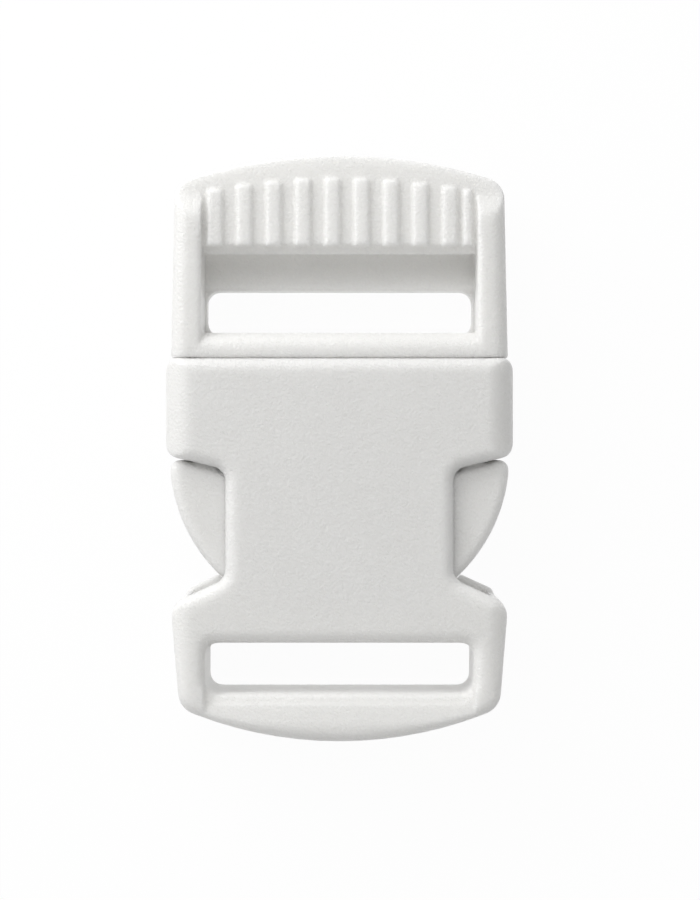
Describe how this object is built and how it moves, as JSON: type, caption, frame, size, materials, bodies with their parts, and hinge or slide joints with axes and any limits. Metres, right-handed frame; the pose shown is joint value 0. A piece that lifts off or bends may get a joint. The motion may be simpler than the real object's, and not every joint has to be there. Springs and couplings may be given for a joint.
{
  "type": "side release buckle",
  "caption": "Fastened side release buckle: a hollow socket with side windows and a sewing bar, and a plug with sprung prongs and a ribbed webbing adjuster.",
  "frame": {"origin": "middle of the buckle's outline, on the back face that it lies on", "axes": "+X across the buckle, +Y from the socket towards the plug, +Z from the back face towards the ribbed front"},
  "size_m": [0.0332, 0.0556, 0.0096],
  "materials": {
    "white_plastic": "fine moulded grain, satin"
  },
  "bodies": {
    "root": {"socket": "white_plastic", "plug": "white_plastic"}
  },
  "joints": []
}
